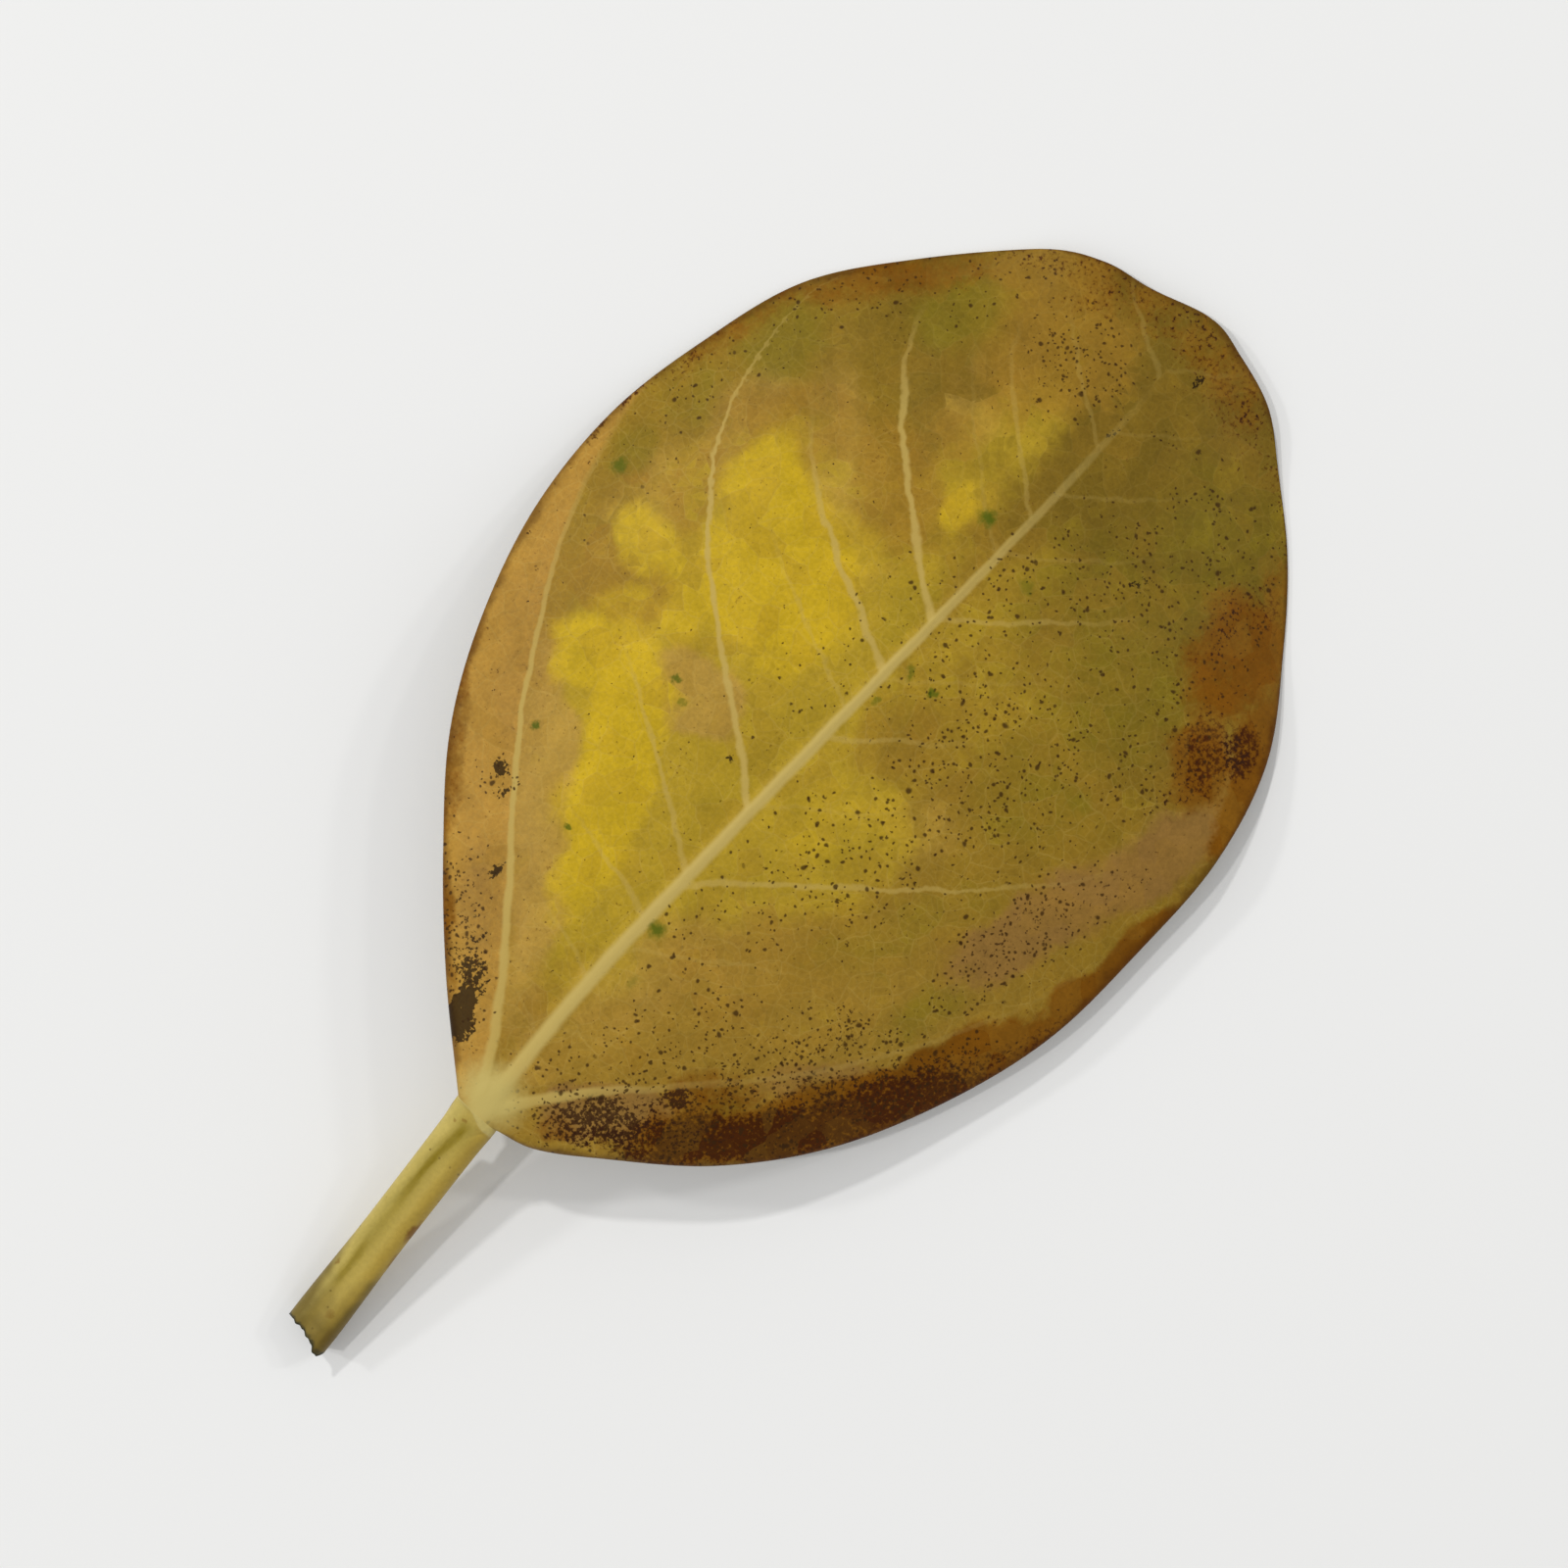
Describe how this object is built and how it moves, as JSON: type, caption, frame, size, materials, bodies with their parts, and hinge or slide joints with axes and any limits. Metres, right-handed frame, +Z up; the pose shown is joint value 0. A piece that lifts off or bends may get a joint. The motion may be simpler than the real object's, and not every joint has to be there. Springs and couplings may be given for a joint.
{
  "type": "leaf",
  "caption": "Fallen broad fig leaf with a stout stalk, yellow and brown, arched along its midrib, lying face up on its margins and the cut end of its stalk.",
  "frame": {"origin": "centre of the bounding box, on the surface that the leaf lies on", "axes": "+X along the midrib from the stalk to the tip, +Y towards the leaf's left margin seen from above, +Z up out of the upper face"},
  "size_m": [0.1598, 0.0886, 0.015],
  "materials": {
    "leaf": "leathery leaf, mustard yellow and brown with pale veins, soft waxy sheen"
  },
  "bodies": {
    "root": {"leaf": "leaf"}
  },
  "joints": []
}
